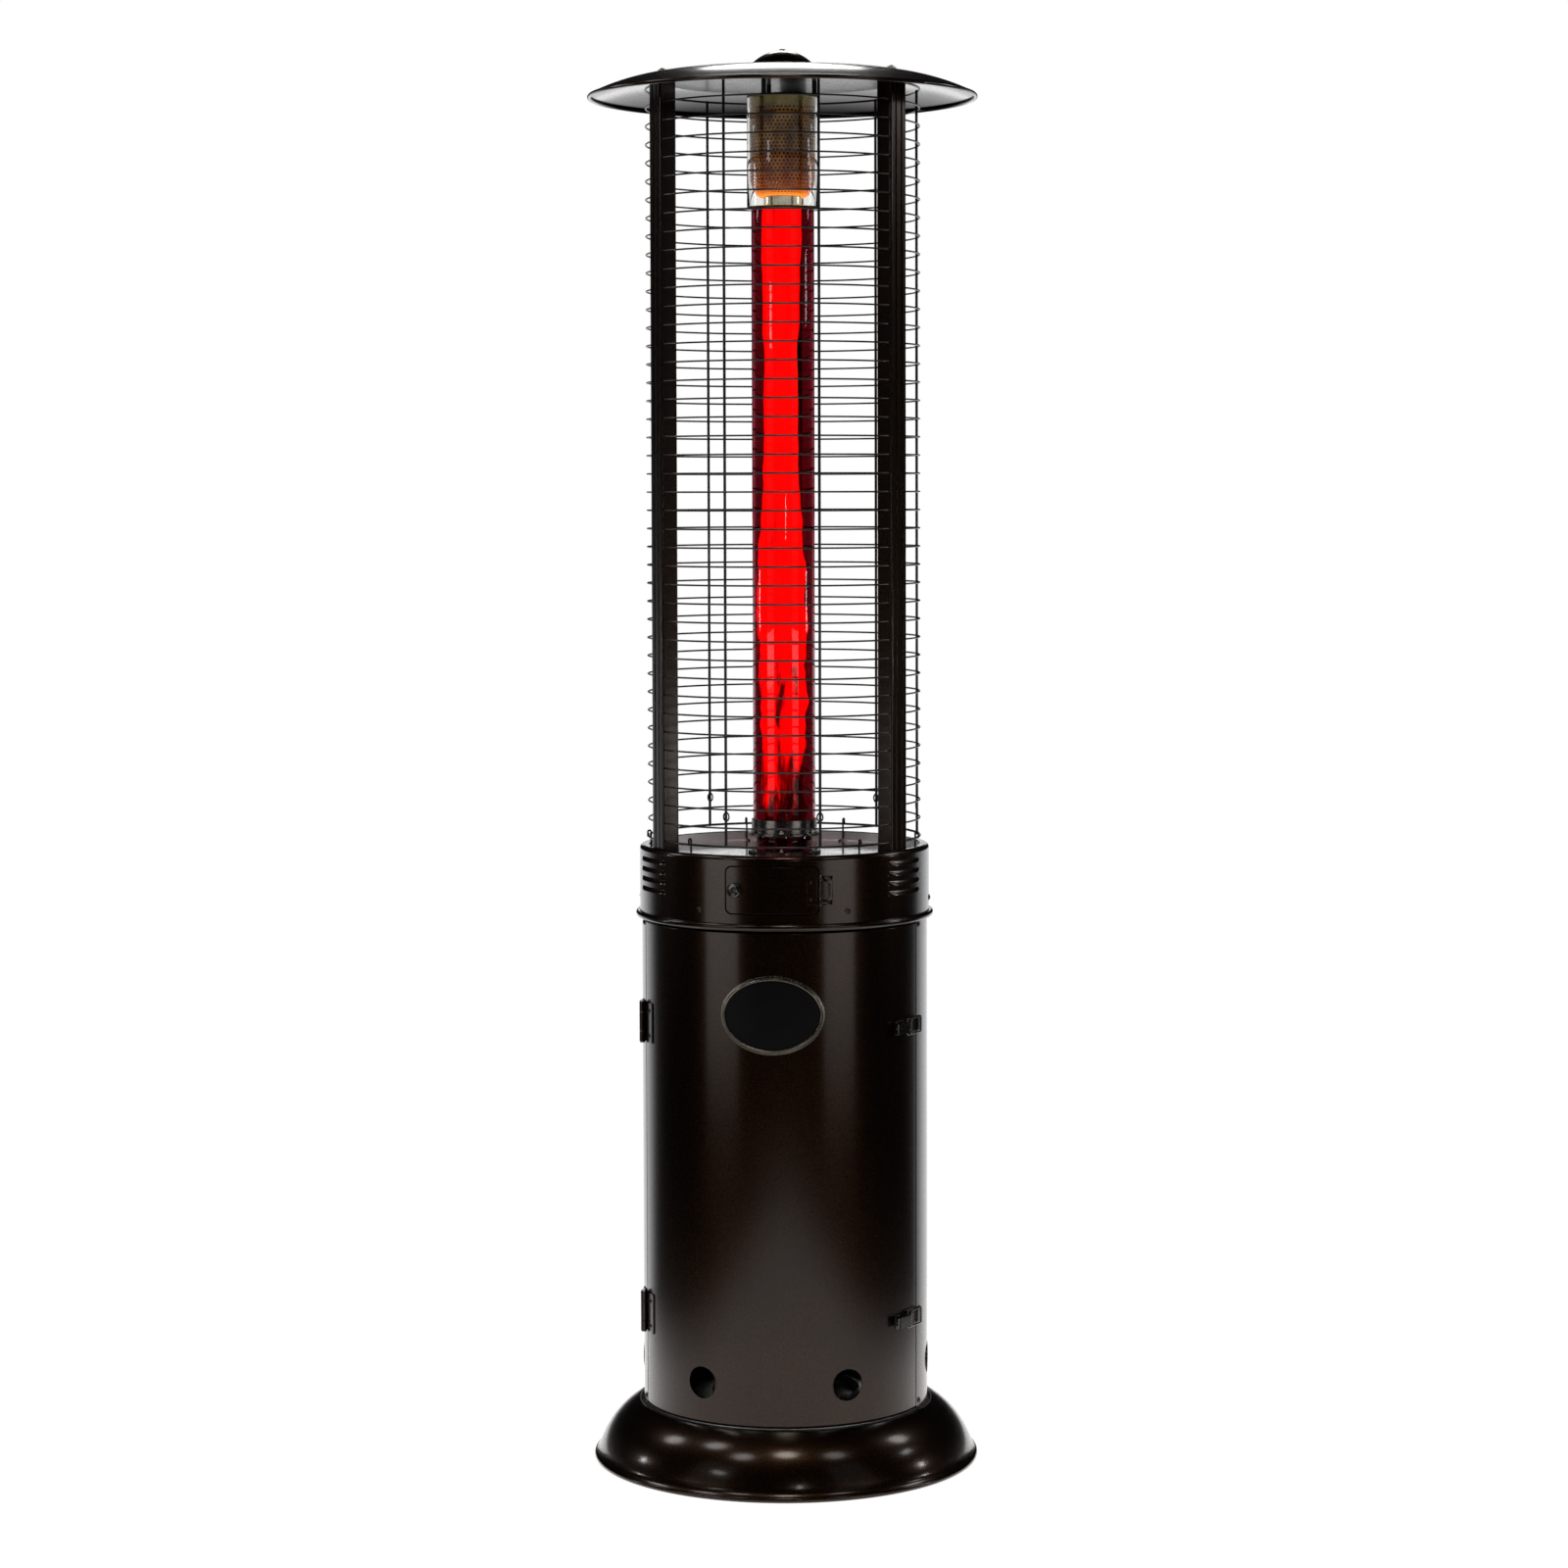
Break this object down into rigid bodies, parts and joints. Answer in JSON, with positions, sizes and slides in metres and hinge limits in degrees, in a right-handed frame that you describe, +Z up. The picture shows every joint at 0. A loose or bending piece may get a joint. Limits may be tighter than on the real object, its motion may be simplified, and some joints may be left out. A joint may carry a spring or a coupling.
{
  "type": "patio gas heater",
  "caption": "Upright round gas patio heater: dome base, gas-bottle cabinet with a hinged door, control collar with a small hatch, caged glass flame tube and dish reflector.",
  "frame": {"origin": "centre of the base on the floor", "axes": "+Z up, -Y is the front with the cabinet door and the control hatch, +X to the right for someone who faces the front"},
  "size_m": [0.558, 0.558, 2.032],
  "materials": {
    "gloss_paint": "gloss black enamel with a warm brown cast",
    "dark_paint": "black enamel",
    "badge_black": "satin black",
    "iron": "raw cast",
    "zinc": "zinc plated",
    "dark_nickel": "dark nickel plated",
    "polished_deck": "polished stainless",
    "brass": "machined",
    "copper": "drawn copper tube",
    "clear_glass": "clear borosilicate",
    "ceramic": "glazed ceramic",
    "emitter": "heat-tinted perforated steel",
    "heat_tint": "bronze heat-tinted steel",
    "black_plastic": "moulded",
    "red_plastic": "moulded"
  },
  "bodies": {
    "root": {"base_cover": "gloss_paint", "ballast_plate": "iron", "cylinder_tray": "zinc", "cabinet_shell": "gloss_paint", "door_jambs": "zinc", "sheet_screws": "dark_paint", "fixed_hinge_leaves": "gloss_paint", "hinge_pins": "zinc", "latch_strikes": "dark_nickel", "collar": "gloss_paint", "collar_bead": "gloss_paint", "deck": "polished_deck", "control_box": "dark_paint", "hatch_hinge_leaf": "gloss_paint", "gas_valve": "brass", "gas_inlet": "brass", "gas_pipe": "copper", "orifice_holder": "brass", "burner_cup": "iron", "pilot_tube": "copper", "thermocouple": "zinc", "spark_electrode": "ceramic", "igniter_body": "black_plastic", "tilt_switch_case": "black_plastic", "lower_flange": "dark_nickel", "throat_sleeve": "clear_glass", "clamp_flange": "dark_nickel", "flange_bolts": "zinc", "glass_tube": "clear_glass", "sleeve_ring": "heat_tint", "glass_sleeve": "clear_glass", "emitter_basket": "emitter", "flue_cap": "heat_tint", "cap_studs": "dark_paint", "left_post": "gloss_paint", "right_post": "gloss_paint", "rear_post": "gloss_paint", "front_guard": "dark_paint", "left_guard": "dark_paint", "right_guard": "dark_paint", "guard_clips": "dark_paint", "heat_shield": "dark_paint", "reflector": "gloss_paint", "vent_cap": "gloss_paint", "acorn_nuts": "zinc"},
    "cabinet_door": {"cabinet_door": "gloss_paint", "badge_frame": "dark_paint", "badge_plate": "badge_black", "door_hinge_leaves": "gloss_paint", "latch_bases": "dark_nickel"},
    "upper_lever": {"upper_latch_lever": "dark_nickel"},
    "upper_bail": {"upper_latch_bail": "dark_nickel"},
    "lower_lever": {"lower_latch_lever": "dark_nickel"},
    "lower_bail": {"lower_latch_bail": "dark_nickel"},
    "control_hatch": {"control_hatch": "gloss_paint"},
    "hatch_catch": {"hatch_catch": "dark_nickel"},
    "valve_stem": {"valve_stem": "brass"},
    "gas_knob": {"gas_knob": "black_plastic"},
    "igniter_button": {"igniter_button": "red_plastic"},
    "tilt_pendulum": {"tilt_pendulum": "zinc"}
  },
  "joints": [
    {"name": "door_hinge", "type": "hinge", "parent": "root", "child": "cabinet_door", "pos_m": [-0.19897, -0.07202, 0.431], "axis": [0, 0, -1], "range_deg": [0, 110]},
    {"name": "upper_latch_turn", "type": "hinge", "parent": "cabinet_door", "child": "upper_lever", "pos_m": [0.18841, -0.09804, 0.641], "axis": [0, 0, 1], "range_deg": [0, 110]},
    {"name": "upper_bail_turn", "type": "hinge", "parent": "upper_lever", "child": "upper_bail", "pos_m": [0.18378, -0.10576, 0.641], "axis": [0, 0, 1], "range_deg": [-140, 0]},
    {"name": "lower_latch_turn", "type": "hinge", "parent": "cabinet_door", "child": "lower_lever", "pos_m": [0.18841, -0.09804, 0.221], "axis": [0, 0, 1], "range_deg": [0, 110]},
    {"name": "lower_bail_turn", "type": "hinge", "parent": "lower_lever", "child": "lower_bail", "pos_m": [0.18378, -0.10576, 0.221], "axis": [0, 0, 1], "range_deg": [-140, 0]},
    {"name": "hatch_hinge", "type": "hinge", "parent": "root", "child": "control_hatch", "pos_m": [0.06778, -0.20024, 0.845], "axis": [0, 0, 1], "range_deg": [0, 100]},
    {"name": "catch_turn", "type": "hinge", "parent": "control_hatch", "child": "hatch_catch", "pos_m": [-0.05268, -0.20225, 0.845], "axis": [-0.2521, -0.9677, 0], "range_deg": [0, 90]},
    {"name": "stem_push", "type": "slide", "parent": "root", "child": "valve_stem", "axis": [0, 1, 0], "range_m": [0, 0.003], "stiffness_N_per_m": 800, "springref_m": -0.001},
    {"name": "knob_turn", "type": "hinge", "parent": "valve_stem", "child": "gas_knob", "pos_m": [0, -0.17, 0.845], "axis": [0, -1, 0], "range_deg": [0, 180]},
    {"name": "igniter_push", "type": "slide", "parent": "root", "child": "igniter_button", "axis": [0, 1, 0], "range_m": [0, 0.005], "stiffness_N_per_m": 900, "springref_m": -0.001},
    {"name": "tilt_swing", "type": "hinge", "parent": "root", "child": "tilt_pendulum", "pos_m": [0.078, -0.173, 0.851], "axis": [1, 0, 0], "range_deg": [-9, 9]}
  ],
  "couplings": [
    {"joint": "upper_bail_turn", "follows": "upper_latch_turn", "ratio": -1.25},
    {"joint": "lower_bail_turn", "follows": "lower_latch_turn", "ratio": -1.25}
  ]
}
